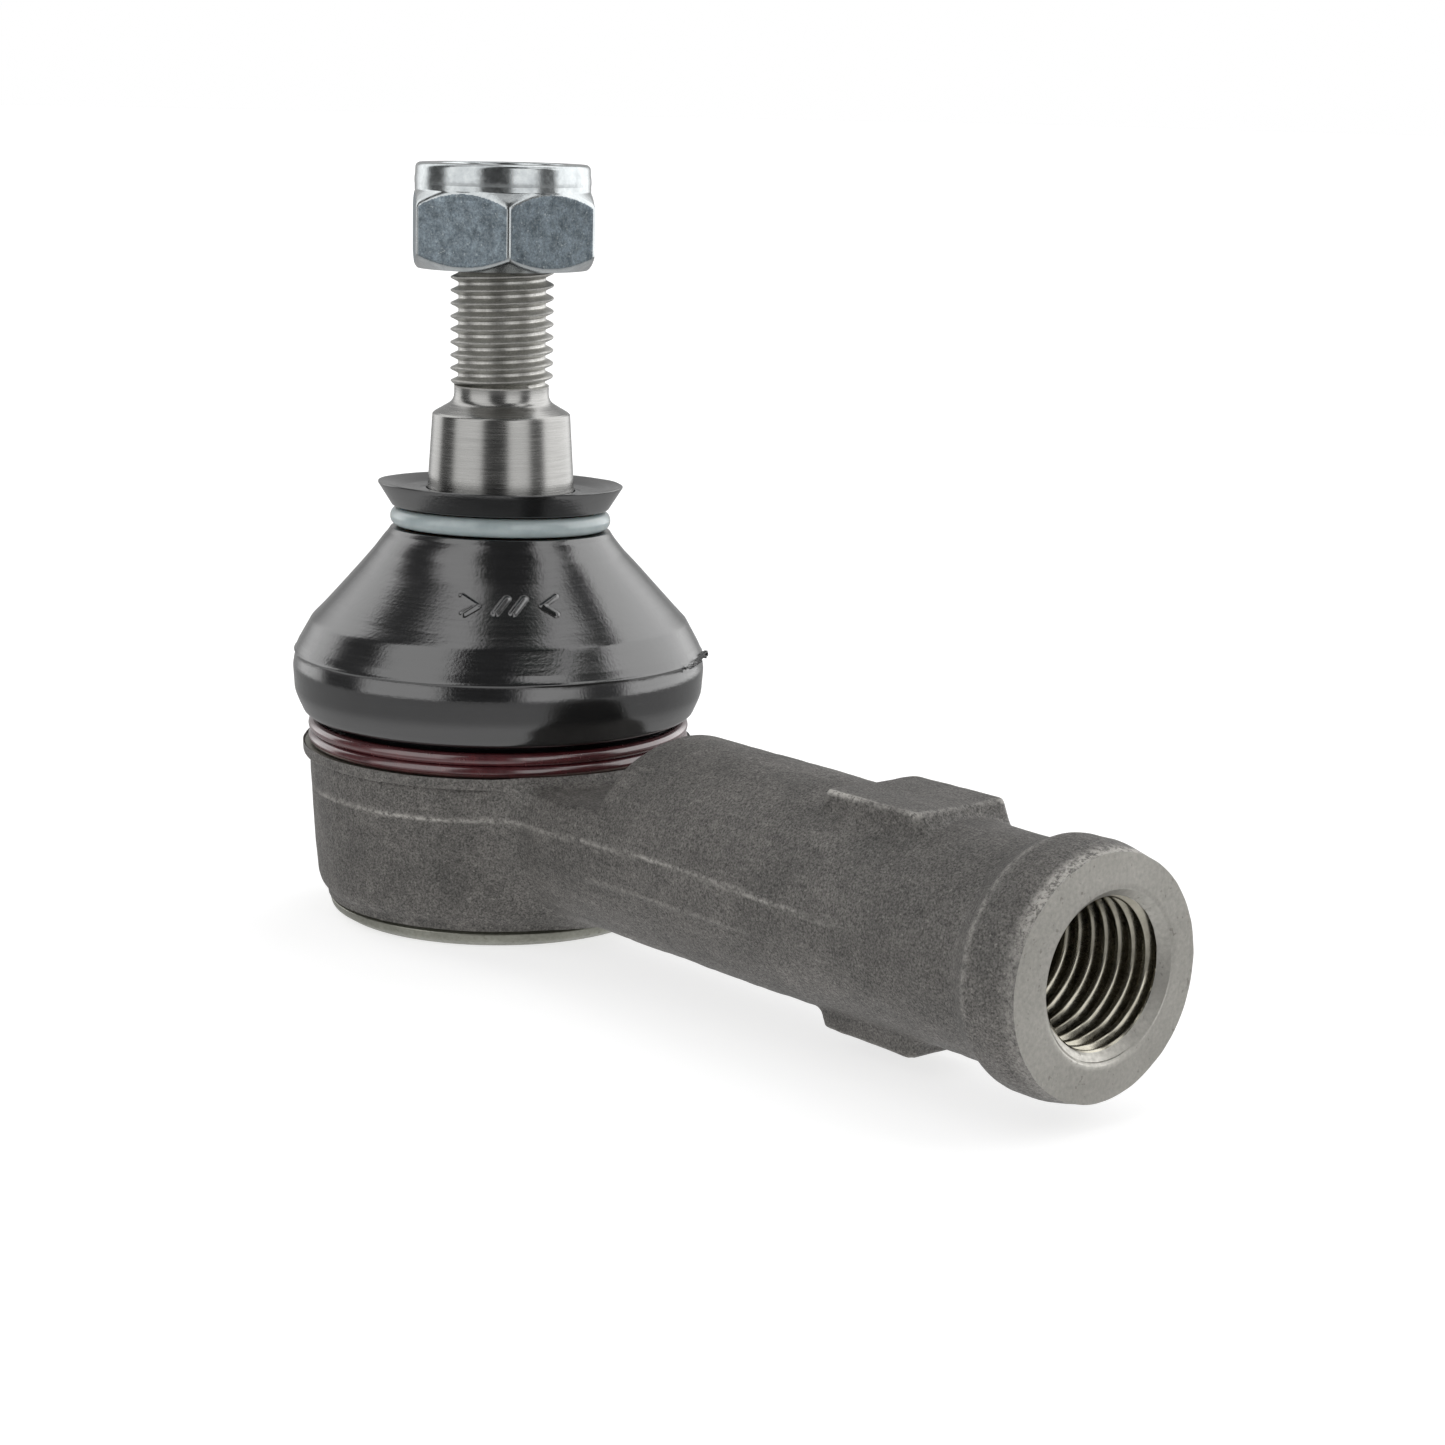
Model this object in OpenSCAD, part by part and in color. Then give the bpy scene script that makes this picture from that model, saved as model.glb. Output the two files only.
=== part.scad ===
// Tie rod end: forged housing with a ball joint, sealed boot, tapered stud and lock nut.
// Origin: centre of the ball. +Z runs up the stud, +X runs out along the shank.

/* [Ball stud] */
// Diameter of the ball
ball_d = 22; // [21:0.25:22.5]
// Height of the flat under the ball, below the ball centre
ball_flat = 9.9; // [9.6:0.1:10.2]
// Diameter of the neck above the ball
neck_d = 12; // [10:0.5:12.5]
// Diameter of the plain collar under the taper
stud_collar_d = 14.56; // [14:0.04:14.6]
// Height of the large end of the taper above the ball centre
taper_low = 26.4; // [25.6:0.1:27]
// Height of the small end of the taper above the ball centre
taper_high = 35.5; // [34:0.5:36]
// Taper ratio, one in this many
taper_ratio = 8; // [7:1:12]
// Nominal diameter of the stud thread
stud_thread_d = 10; // [9.5:0.25:10.5]
// Pitch of the stud thread
stud_pitch = 1.25; // [1:0.25:1.5]
// Height of the free end of the stud
stud_top = 58.5; // [56:0.5:58.5]

/* [Lock nut] */
// Width across the flats of the nut
nut_af = 17; // [16.5:0.5:19]
// Height of the nut's seat above the ball centre
nut_z = 49.5; // [46:0.5:49.5]
// Height of the whole nut
nut_h = 10; // [10:0.1:10.5]
// Height of the nut's six-sided part
nut_hex_h = 7.8; // [7:0.1:8]
// Diameter of the rolled collar that holds the insert
nut_collar_d = 17; // [16.4:0.1:17]
// Angle of the nut's first corner from the shank's direction
nut_turn = 28; // [0:1:60]
// Radial running clearance of the nut and its insert
nut_clear = 0.03; // [0.01:0.01:0.08]

/* [Housing] */
// Distance from the ball centre to the end face of the shank
shank_len = 83.5; // [80:0.5:90]
// Height of the ball centre above the shank axis
shank_drop = 1.5; // [1:0.25:2]
// Diameter of the shank next to the head
shank_d = 20.2; // [19.4:0.1:20.4]
// Diameter of the shank next to the end collar
shank_waist_d = 19.2; // [18.6:0.1:19.4]
// Largest diameter of the end collar
end_collar_d = 21.5; // [20.5:0.1:22]
// Minor diameter of the tie rod thread
rod_minor_d = 12.376; // [11.8:0.002:12.376]
// Length of the tie rod thread
rod_thread_len = 34; // [28:1:36]
// Distance across the two wrench pads
pad_af = 21; // [20.6:0.1:21.4]
// Outer diameter of the head under its rim
head_d = 37.3; // [36.8:0.1:37.6]
// Outer diameter of the head at its foot
foot_d = 35.2; // [34.8:0.1:35.6]
// Diameter of the socket bore
socket_d = 27.2; // [27:0.05:27.3]
// Diameter of the seat that the boot is clamped on
seat_d = 32.4; // [32:0.1:32.6]
// Radius of the clearance for the boot, cut in the shank's root about the stud's axis
root_cut_r = 29.5; // [24:0.5:30]

/* [Boot] */
// Largest diameter of the boot
boot_d = 40.4; // [39.8:0.1:40.6]
// Height of the boot's largest diameter above the ball centre
boot_bulge_z = 11; // [10.6:0.1:11.4]
// Diameter of the boot's top lip
lip_d = 23.9; // [23:0.1:24.4]
// Height of the boot's top lip above the ball centre
lip_z = 28.7; // [28.4:0.1:29]
// Wall thickness of the boot
boot_wall = 1.7; // [1.5:0.05:1.8]
// Wire diameter of the upper clamping ring
upper_wire = 1.84; // [1.6:0.02:1.84]
// Wire diameter of the two-turn lower clamping ring
lower_wire = 1.3; // [1.2:0.02:1.3]

/* [Hidden] */
$fn = 96;

fit = 0.03;                              // radial running clearance of the ball in its seats
eps = 0.5;                               // overshoot of a cutting solid
ball_r = ball_d / 2;
ball_seat_r = ball_r + fit;
socket_r = socket_d / 2;
shell_r = socket_r - fit;
neck_r = neck_d / 2;
collar_r = stud_collar_d / 2;
taper_r = collar_r - (taper_high - taper_low) / (2 * taper_ratio);
thread_r = stud_thread_d / 2;
undercut_r = thread_r - 0.55 * stud_pitch / 1.25;
shoulder_h = 1.6;                        // height of the shoulder over the taper
undercut_h = 1.2;                        // height of the relief under the thread

seat_low = 3;                            // top of the rim, which the boot's bead rests on
seat_top = 6.8;                          // top of the seat
rim_low = 1.7;                           // underside of the rim
rim_r = 19.4;
root_floor = 2.4;                        // floor of the clearance cut in the shank's root
plate_t = 1.5;                           // thickness of the closing plate
plate_top = -12;                         // upper face of the closing plate
plate_r = 14.4;
housing_foot = -14;                      // underside of the rolled edge
mouth_r = 10.4;                          // narrowest opening of the housing at its top
socket_cone_low = 2.2;                   // where the socket starts to close in towards its mouth
shell_top = 6.2;                         // where the socket's cone meets its mouth
shell_low = -6.5;
bead_r = seat_d / 2 + 1.3;               // outside of the boot's bead, under the lower ring
ring_gap = 0.02;                         // gap between a ring and the rubber that it clamps
ring_z = lip_z - 3.45;                   // height of the upper clamping ring
groove_r = lip_d / 2 - upper_wire - 1.1; // floor of the boot's groove for that ring

chamber_r = nut_collar_d / 2 - 1.3;      // chamber of the nut's insert: radius, floor and roof
chamber_low = nut_z + nut_hex_h - 1;
chamber_top = nut_z + nut_h - 0.6;

// Points of an arc about c with radius r, from angle a to angle b, in n steps.
function arc(c, r, a, b, n) = [for (i = [0:n]) let (t = a + (b - a) * i / n) c + r * [cos(t), sin(t)]];

// A ring of round wire with its centre line at radius r and height z.
module wire_ring(r, z, wire) {
    translate([0, 0, z]) rotate_extrude() translate([r, 0]) circle(d = wire, $fn = 32);
}

// Outer form of the head, turned about the stud's axis.
module head_form() {
    body_mid_z = -4;
    foot_step_z = -12.3;
    rolled_r = foot_d / 2 - 1.2;
    rotate_extrude() polygon([[0, housing_foot], [rolled_r - 0.9, housing_foot],
        [rolled_r, housing_foot + 0.9], [rolled_r, foot_step_z], [foot_d / 2 - 0.4, foot_step_z],
        [foot_d / 2, foot_step_z + 0.6], [head_d / 2 - 0.1, body_mid_z], [head_d / 2, rim_low - 0.5],
        [rim_r, rim_low], [rim_r, seat_low], [0, seat_low]]);
    cylinder(d = seat_d, h = seat_top);
}

// Outer form of the shank, turned about its own axis, with the collar at its end.
module shank_form() {
    collar_start = shank_len - 10.5;
    collar_high = shank_len - 3;
    end_r = end_collar_d / 2 - 0.4;
    rotate([0, 90, 0]) rotate_extrude() polygon([[0, 0], [shank_d / 2, 0], [shank_d / 2, shank_len / 2],
        [shank_waist_d / 2, collar_start], [end_collar_d / 2 - 0.4, collar_start + 3.2],
        [end_collar_d / 2, collar_high], [end_r, shank_len], [0, shank_len]]);
}

// One wrench pad, with sloping ends; it stands on the shank at height h above the shank's axis.
module wrench_pad(h) {
    pad_centre = shank_len - 23;
    pad_len = 11.3;
    pad_w = 10;
    slope = 1.2;
    translate([pad_centre, pad_w / 2, 0]) rotate([90, 0, 0]) linear_extrude(pad_w)
        polygon([[-pad_len / 2 - slope, h - 3], [-pad_len / 2, h],
            [pad_len / 2, h], [pad_len / 2 + slope, h - 3]]);
}

// Space inside the head: socket, mouth, and the counterbore of the closing plate.
module socket_space() {
    rotate_extrude() polygon([[0, housing_foot - eps], [plate_r - 1.4, housing_foot - eps],
        [plate_r - 1.4, plate_top - plate_t], [plate_r, plate_top - plate_t], [plate_r, plate_top],
        [socket_r, plate_top], [socket_r, socket_cone_low], [mouth_r, shell_top],
        [mouth_r + 0.8, seat_top + eps], [0, seat_top + eps]]);
}

// Threaded hole of the shank at its minor diameter, with the drill's cone and a mouth chamfer.
module rod_hole() {
    minor_r = rod_minor_d / 2;
    chamfer = 1.2;
    rotate([0, 90, 0]) rotate_extrude() polygon([[0, shank_len - rod_thread_len - 3.5],
        [minor_r, shank_len - rod_thread_len], [minor_r, shank_len - chamfer], [minor_r + chamfer, shank_len],
        [minor_r + chamfer, shank_len + eps], [0, shank_len + eps]]);
}

// Everything above height low, between two radii about the stud's axis.
module ring_cut(low, outer_r, inner_r) {
    translate([0, 0, low]) difference() {
        cylinder(r = outer_r, h = 20);
        translate([0, 0, -eps]) cylinder(r = inner_r, h = 20 + 2 * eps);
    }
}

module housing() {
    color("dimgray") difference() {
        union() {
            head_form();
            translate([0, 0, -shank_drop]) {
                shank_form();
                wrench_pad(pad_af / 2);
                mirror([0, 0, 1]) wrench_pad(pad_af / 2);
            }
        }
        ring_cut(root_floor, root_cut_r, rim_r);
        ring_cut(seat_low, rim_r + eps, seat_d / 2);
        ring_cut(seat_top, rim_r + eps, 0);
        socket_space();
        translate([0, 0, -shank_drop]) rod_hole();
    }
}

module bearing_shell() {
    cone_gap = 2.5 * fit;
    core_r = 7;
    lead_in = 0.6;
    lead_r = mouth_r - 0.2;
    color("ivory") difference() {
        rotate_extrude() polygon([[core_r, shell_low], [shell_r, shell_low],
            [shell_r, socket_cone_low - cone_gap], [mouth_r - fit, shell_top - cone_gap],
            [core_r, shell_top - cone_gap]]);
        sphere(r = ball_seat_r);
        translate([0, 0, shell_top - 0.8]) cylinder(r1 = lead_r - lead_in, r2 = lead_r, h = 0.8 + fit);
    }
}

module pressure_pad() {
    pad_low = -10.9;
    relief_r = 5.2;
    color("gainsboro") difference() {
        translate([0, 0, pad_low]) cylinder(r = shell_r, h = shell_low - 0.1 - pad_low);
        sphere(r = ball_seat_r);
        translate([0, 0, pad_low - eps]) cylinder(r = relief_r, h = 5);
    }
}

module preload_spring() {
    inner_r = 6.2;
    outer_r = 12.5;
    thickness = 0.8;
    rise = 0.3;
    color("slategray") rotate_extrude() polygon([[inner_r, plate_top + rise], [outer_r, plate_top],
        [outer_r, plate_top + thickness], [inner_r, plate_top + thickness + rise]]);
}

module closing_plate() {
    dish_r = 8;
    dish = 0.3;
    color("darkgray") rotate_extrude() polygon([[0, plate_top - dish], [dish_r, plate_top - dish],
        [dish_r + 1, plate_top], [plate_r, plate_top], [plate_r, plate_top - plate_t],
        [dish_r + 1.4, plate_top - plate_t], [dish_r + 0.4, plate_top - plate_t - dish],
        [0, plate_top - plate_t - dish]]);
}

module ball_stud() {
    neck_low = 8;
    neck_high = 14;
    shoulder_z = taper_high + shoulder_h;
    thread_low = shoulder_z + undercut_h;
    end_chamfer = 0.9;
    color("silver") {
        difference() {
            sphere(r = ball_r);
            translate([0, 0, -ball_r - eps]) cylinder(r = ball_r, h = ball_r + eps - ball_flat);
        }
        rotate_extrude() polygon([[0, 0], [neck_r, neck_low], [neck_r, neck_high], [collar_r, neck_high + 6],
            [collar_r, taper_low], [taper_r, taper_high], [undercut_r, shoulder_z], [undercut_r, thread_low],
            [thread_r, thread_low + 0.5], [thread_r, stud_top - end_chamfer],
            [thread_r - end_chamfer, stud_top], [0, stud_top]]);
    }
}

module dust_boot() {
    bore_r = collar_r + 0.05;
    bead_low = seat_low + ring_gap;
    bead_top = seat_low + 2 * lower_wire + 0.2;
    ring_slack = 0.03;
    ledge_z = lip_z - 4.8;
    ledge_r = lip_d / 2 - 0.95;
    bulge_r = boot_d / 2;
    round_r = 6;
    bulge_c = [bulge_r - round_r, boot_bulge_z];
    cone_top = [bulge_r - 4.7, 18.6];
    cone_low = [bulge_r - 2.1, 15.7];
    inside = [-0.4 - boot_wall, -0.5];
    color("#1c1d1f") rotate_extrude() polygon(concat(
        [[bore_r, lip_z - 0.5], [bore_r + 1.2, lip_z - 0.8], [lip_d / 2, lip_z],
         [lip_d / 2 - 1.4, lip_z - 2.4], [groove_r, ring_z + upper_wire / 2 + ring_slack],
         [groove_r, ring_z - upper_wire / 2 - ring_slack], [ledge_r, ledge_z], cone_top, cone_low],
        arc(bulge_c, round_r, 15, -46, 8),
        [[bead_r, bead_top], [bead_r, bead_low], [seat_d / 2 + ring_gap, bead_low],
         [seat_d / 2 + ring_gap, seat_top - 0.3]],
        arc(bulge_c, round_r - boot_wall, -40, 15, 6),
        [cone_low + inside, cone_top + inside, [ledge_r - 0.6, ledge_z - 1.6], [bore_r, ledge_z - 1.2]]));
}

module boot_upper_ring() {
    color("#b9c6cf") wire_ring(groove_r + ring_gap + upper_wire / 2, ring_z, upper_wire);
}

module boot_lower_ring() {
    turn_step = lower_wire - 0.04;
    first_z = seat_low + ring_gap + lower_wire / 2;
    color("#5a1f26") for (turn = [0:1])
        wire_ring(bead_r + ring_gap + lower_wire / 2, first_z + turn * turn_step, lower_wire);
}

module nut_insert() {
    color("white") translate([0, 0, chamber_low + nut_clear]) difference() {
        cylinder(r = chamber_r - nut_clear, h = chamber_top - chamber_low - 2 * nut_clear);
        translate([0, 0, -eps]) cylinder(r = thread_r + nut_clear, h = nut_h);
    }
}

module lock_nut() {
    hex_corner_r = nut_af / 2 / cos(30);
    corner_cut = 0.95;
    entry = 0.6;
    round_r = 1.1;
    rolled_r = nut_collar_d / 2 - 0.02;
    rolled_low = 5;
    color("lightsteelblue") translate([0, 0, nut_z]) difference() {
        union() {
            intersection() {
                rotate([0, 0, nut_turn]) cylinder(r = hex_corner_r, h = nut_hex_h, $fn = 6);
                rotate_extrude() polygon([[0, 0], [nut_af / 2 - 0.25, 0], [hex_corner_r + 0.1, corner_cut],
                    [hex_corner_r + 0.1, nut_hex_h - corner_cut - 0.3], [nut_af / 2 - 0.3, nut_hex_h],
                    [0, nut_hex_h]]);
            }
            rotate_extrude() polygon(concat([[0, rolled_low], [rolled_r, rolled_low]],
                arc([rolled_r - round_r, nut_h - round_r], round_r, 0, 90, 6), [[0, nut_h]]));
        }
        translate([0, 0, -eps]) cylinder(r = thread_r + nut_clear, h = nut_h + 2 * eps);
        translate([0, 0, -eps]) cylinder(r1 = thread_r + entry + eps, r2 = thread_r, h = entry + eps);
        translate([0, 0, chamber_low - nut_z]) cylinder(r = chamber_r, h = chamber_top - chamber_low);
        translate([0, 0, chamber_top - nut_z - eps]) cylinder(r = thread_r + 0.9, h = nut_h);
    }
}

housing();
bearing_shell();
pressure_pad();
preload_spring();
closing_plate();
ball_stud();
dust_boot();
boot_upper_ring();
boot_lower_ring();
nut_insert();
lock_nut();
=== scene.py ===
"""Tie rod end: forged housing, ball stud with a lock nut, and a rubber boot with its two rings."""

import math

import bmesh
import bpy
import numpy as np
from mathutils import Matrix, Vector


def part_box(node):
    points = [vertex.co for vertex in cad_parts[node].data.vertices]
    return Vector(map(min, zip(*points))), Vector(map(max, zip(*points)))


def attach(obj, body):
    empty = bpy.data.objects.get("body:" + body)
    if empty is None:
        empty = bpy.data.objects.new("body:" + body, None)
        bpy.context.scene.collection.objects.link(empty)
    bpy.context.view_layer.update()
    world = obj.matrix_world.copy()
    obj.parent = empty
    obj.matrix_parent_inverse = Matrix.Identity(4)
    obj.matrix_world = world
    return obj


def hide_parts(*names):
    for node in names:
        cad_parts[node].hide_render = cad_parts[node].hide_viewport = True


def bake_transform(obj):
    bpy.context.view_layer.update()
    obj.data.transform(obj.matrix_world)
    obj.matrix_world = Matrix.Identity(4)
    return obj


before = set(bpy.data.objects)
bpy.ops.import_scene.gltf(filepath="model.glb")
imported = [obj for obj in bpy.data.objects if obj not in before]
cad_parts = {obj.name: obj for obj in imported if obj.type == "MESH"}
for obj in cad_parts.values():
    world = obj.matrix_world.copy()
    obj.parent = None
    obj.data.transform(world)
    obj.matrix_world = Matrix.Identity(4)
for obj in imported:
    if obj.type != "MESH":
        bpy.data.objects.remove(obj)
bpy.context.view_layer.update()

MM = 0.001  # shapes are worked out in millimetres, with the ball's centre at the origin

# Driving dimensions, in millimetres: the frame's own sizes, read from its nodes.
FOOT_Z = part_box("housing")[0].z / MM
SHANK_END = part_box("housing")[1].x / MM
BOOT_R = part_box("dust_boot")[1].x / MM
LIP_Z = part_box("dust_boot")[1].z / MM
STUD_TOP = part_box("ball_stud")[1].z / MM
STUD_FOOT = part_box("ball_stud")[0].z / MM
NUT_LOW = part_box("lock_nut")[0].z / MM
NUT_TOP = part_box("lock_nut")[1].z / MM
RING_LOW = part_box("boot_upper_ring")[0].z / MM
RING_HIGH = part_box("boot_upper_ring")[1].z / MM
RING_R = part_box("boot_upper_ring")[1].x / MM

AXIS_Z = -1.5  # height of the shank's axis
PAD_X = SHANK_END - 23.0  # middle of the wrench pads
BALL_R = 11.0
TAPER_R = 7.28
THREAD_LOW = 38.25  # where the stud's thread starts, and the radius of the relief under it
RELIEF_R = 4.62
SOCKET_R = 13.6
SEAT_R = 16.2
SEAT_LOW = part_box("boot_lower_ring")[0].z / MM - 0.02
SEAT_TOP = 6.8
RIM_R = 19.4
RIM_LOW = 2.05
FOOT_SHOULDER_Z = -12.0
ROOT_CUT_R = 29.5  # clearance for the boot, cut in the shank's root
ROOT_FLOOR = 2.4
THREAD_DEPTH = 0.6134  # of an outside thread, in pitches
BORE_THREAD_DEPTH = 0.5413
STUD_THREAD_R = 5.0
STUD_PITCH = 1.25
STUD_THREAD_START = 0.27  # height of a crest at the thread's zero angle
ROD_THREAD_R = 7.0
ROD_PITCH = 1.5
BORE_MOUTH_R = 7.22
NUT_FLAT_R = 8.5
CHAMBER_LOW = NUT_LOW + 6.8  # floor of the nut's chamber for its insert
NUT_TURN = math.radians(28)  # direction of the nut's first corner

CAMERA_AZIMUTH = 54.55  # degrees from -Y towards +X

# material indices of the housing's faces
FORGED, TURNED, TAPPED, FACED = 0, 1, 2, 3


# ---------------- shapes in numbers

def smoothstep(low, high, value):
    t = np.clip((value - low) / (high - low), 0.0, 1.0)
    return t * t * (3.0 - 2.0 * t)


def smooth_min(a, b, k):
    h = np.clip(0.5 + 0.5 * (b - a) / k, 0.0, 1.0)
    return b * (1 - h) + a * h - k * h * (1 - h)


def smooth_max(a, b, k):
    return -smooth_min(-a, -b, k)


def make_noise(size, seed):
    """Smooth noise from -1 to 1 over three coordinates, from a random lattice of cells `size` wide."""
    count = 32
    lattice = np.random.default_rng(seed).uniform(-1, 1, (count, count, count))

    def noise(x, y, z):
        total = 0.0
        parts = []
        for value in (x, y, z):
            scaled = value / size
            cell = np.floor(scaled)
            t = scaled - cell
            parts.append((cell.astype(int), t * t * (3 - 2 * t)))
        (i, u), (j, v), (k, w) = parts
        for a in (0, 1):
            for b in (0, 1):
                for c in (0, 1):
                    weight = (u if a else 1 - u) * (v if b else 1 - v) * (w if c else 1 - w)
                    total = total + weight * lattice[(i + a) % count, (j + b) % count, (k + c) % count]
        return total

    return noise


def rounded(points):
    """A polyline through (r, z, fillet) points, with each corner rounded by its fillet radius."""
    out = []
    for i, (r, z, fillet) in enumerate(points):
        corner = np.array([r, z], float)
        if fillet == 0 or i in (0, len(points) - 1):
            out.append(corner)
            continue
        before = np.array(points[i - 1][:2], float) - corner
        after = np.array(points[i + 1][:2], float) - corner
        len_b, len_a = np.linalg.norm(before), np.linalg.norm(after)
        before, after = before / len_b, after / len_a
        half = math.acos(max(-1, min(1, float(before @ after)))) / 2
        reach = min(fillet / math.tan(half), 0.49 * len_b, 0.49 * len_a)
        radius = reach * math.tan(half)
        centre = corner + (before + after) / np.linalg.norm(before + after) * radius / math.sin(half)
        first = corner + before * reach - centre
        last = corner + after * reach - centre
        turn = math.atan2(first[0] * last[1] - first[1] * last[0], float(first @ last))
        count = max(2, int(abs(turn) / 0.22))
        for n in range(count + 1):
            a = turn * n / count
            out.append(centre + [first[0] * math.cos(a) - first[1] * math.sin(a),
                                 first[0] * math.sin(a) + first[1] * math.cos(a)])
    return np.array(out)


def resampled(path, step):
    """The same polyline with no stretch longer than step; the corners stay. Step is a length, or a
    function that gives one from a stretch's middle."""
    out = [path[0]]
    for a, b in zip(path[:-1], path[1:]):
        longest = step((a + b) / 2) if callable(step) else step
        count = max(1, math.ceil(np.linalg.norm(b - a) / longest))
        out += [a + (b - a) * n / count for n in range(1, count + 1)]
    return np.array(out)


# ---------------- meshes

def add_object(name, vertices, faces, sharp=35.0):
    """A smooth-shaded mesh object from millimetre vertices, with edges sharper than `sharp` degrees kept."""
    mesh = bpy.data.meshes.new(name)
    mesh.from_pydata([tuple(v) for v in np.asarray(vertices) * MM], [], [tuple(f) for f in faces])
    mesh.update()
    obj = bpy.data.objects.new(name, mesh)
    bpy.context.scene.collection.objects.link(obj)
    clean(obj)
    shade(obj, sharp)
    return obj


def clean(obj):
    """Welds doubled points and makes the normals point outwards."""
    bm = bmesh.new()
    bm.from_mesh(obj.data)
    bmesh.ops.remove_doubles(bm, verts=bm.verts, dist=2e-6)
    bmesh.ops.dissolve_degenerate(bm, edges=bm.edges, dist=1e-7)
    bmesh.ops.recalc_face_normals(bm, faces=bm.faces)
    bm.to_mesh(obj.data)
    bm.free()


def shade(obj, sharp):
    mesh = obj.data
    mesh.polygons.foreach_set("use_smooth", [True] * len(mesh.polygons))
    mesh.set_sharp_from_angle(angle=math.radians(sharp))


def grid_faces(rows, columns, close_rows=False, close_columns=True):
    """Quads of a grid of points, closed round its columns and, if asked, round its rows."""
    faces = []
    for i in range(rows if close_rows else rows - 1):
        a, b = i * columns, ((i + 1) % rows) * columns
        for j in range(columns if close_columns else columns - 1):
            n = (j + 1) % columns
            faces.append((a + j, a + n, b + n, b + j))
    return faces


def polar(r, angle, z):
    return np.stack([r * np.cos(angle), r * np.sin(angle), z], -1)


def bar(edges):
    """Vertices and faces of a bar from the lines along its edges, with both ends closed."""
    sections = np.array(edges).transpose(1, 0, 2)
    count, size = sections.shape[:2]
    faces = grid_faces(count, size)
    faces.append(tuple(range(size - 1, -1, -1)))
    faces.append(tuple((count - 1) * size + i for i in range(size)))
    return sections.reshape(-1, 3), faces


def rows_to_xyz(rows, angles):
    """Points of a grid of (r, z) rows, one column for each angle."""
    return polar(rows[..., 0], angles, rows[..., 1]).reshape(-1, 3)


def rings(path, angles):
    """Level rows for such a grid: one for each (r, z) point of the path."""
    return np.broadcast_to(np.asarray(path, float)[:, None, :], (len(path), len(angles), 2))


def revolve(path, angles, closed=False):
    """Vertices and faces of a path of (r, z) points turned round Z."""
    return rows_to_xyz(rings(path, angles), angles), grid_faces(len(path), len(angles), closed)


def full_turn(count):
    return np.linspace(0, 2 * np.pi, count, endpoint=False)


def helix_turn(count):
    """Angles whose last column lies on the first, one pitch on, so that the two weld into one helix."""
    return np.linspace(0, 2 * np.pi, count + 1)


def thread_radius(phase, major, pitch, depth=THREAD_DEPTH):
    """Radius of a 60 degree screw thread at a phase from 0 to 1: flat crest at 0, flat root at 0.5."""
    from_crest = np.abs((phase + 0.5) % 1.0 - 0.5)
    flank = np.clip((from_crest - 0.0625) / (0.375 - 0.0625), 0, 1)
    soft = 0.85 * flank + 0.15 * flank * flank * (3 - 2 * flank)
    return major - depth * pitch * soft


def thread_tube(low, high, major, pitch, limit, angles, per_pitch=16, depth=THREAD_DEPTH, start=0.0):
    """Rows of a right-hand thread between two heights. Its lines follow the helix, and limit(r, z)
    trims it."""
    rise = pitch * angles / (2 * np.pi)
    steps = math.ceil((high - low) / pitch + 2) * per_pitch
    rows = []
    for n in range(steps + 1):
        raw = low - pitch + n * pitch / per_pitch + rise + start
        z = np.clip(raw, low, high)
        r = thread_radius((z - rise - start) / pitch, major, pitch, depth)
        rows.append(np.stack([limit(r, z), z], -1))
    return np.array(rows)


# ---------------- housing

lumps = make_noise(5.0, 11)
grit = make_noise(1.1, 12)
flash_wave = make_noise(2.2, 13)


def shank_radius(x):
    """Radius of the shank along its axis: a slow narrowing, then the swell of the end collar."""
    narrowing = 0.55 * smoothstep(45, 72, x)
    swell = 1.2 * smoothstep(75.4, 78.6, x)
    end = 0.6 * smoothstep(80.3, 84.2, x)
    return 10.15 - narrowing + swell - end


def shank_centre_y(x):
    """The forging is a little off the bore's axis at its end."""
    return -0.5 * smoothstep(45, 82, x)


def shank_field(x, y, z):
    """The shank, with the clearance for the boot taken from the top of its root."""
    rho = np.hypot(y - shank_centre_y(x), z - AXIS_Z)
    body = smooth_max(rho - shank_radius(x), -x, 1.0)
    clearance = smooth_max(np.hypot(x, y) - ROOT_CUT_R, ROOT_FLOOR - z, 1.2)
    return smooth_max(body, -clearance, 0.9)


def pad_field(x, y, z, side):
    """A wrench pad above (side 1) or below (side -1) the shank, with sloping ends and soft edges."""
    h = side * (z - AXIS_Z)
    along = np.abs(x - PAD_X)
    ends = (along - 5.55 - 0.45 * (10.5 - h)) / 1.1
    sides = np.abs(y + 0.1) - (5.15 if side > 0 else 4.7) - 0.04 * (10.5 - h)
    body = smooth_max(smooth_max(ends, sides, 0.7), h - 10.55, 0.35)
    return smooth_max(body, 4.0 - h, 0.5)


def head_radius(z):
    """Radius of the head's wall, which has a slight draft."""
    return np.interp(z, [-14.5, -12.2, -7.0, 0.0, 3.0], [17.2, 17.58, 18.15, 18.62, 18.68])


def head_field(x, y, z):
    rho = np.hypot(x, y)
    wall = (rho - head_radius(z)) * 0.997
    body = smooth_max(wall, z - SEAT_TOP - 1.0, 0.5)
    body = smooth_max(body, FOOT_SHOULDER_Z - z, 2.2)
    foot = smooth_max(smooth_max(rho - 16.9, FOOT_Z - 0.6 - z, 0.3), z + 8.0, 0.3)
    body = smooth_min(body, foot, 0.1)
    middle = (RIM_LOW + SEAT_LOW + 0.4) / 2
    tall = (SEAT_LOW + 0.4 - RIM_LOW) / 2 - 0.35
    rim = np.hypot(np.maximum(np.abs(z - middle) - tall, 0), np.maximum(rho - RIM_R + 0.4, 0)) - 0.38
    crease = 0.16 * np.exp(-((z - RIM_LOW + 0.12) / 0.16) ** 2)
    return smooth_min(body + crease, rim + 0.07 * grit(x, y, z), 0.12)


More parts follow.
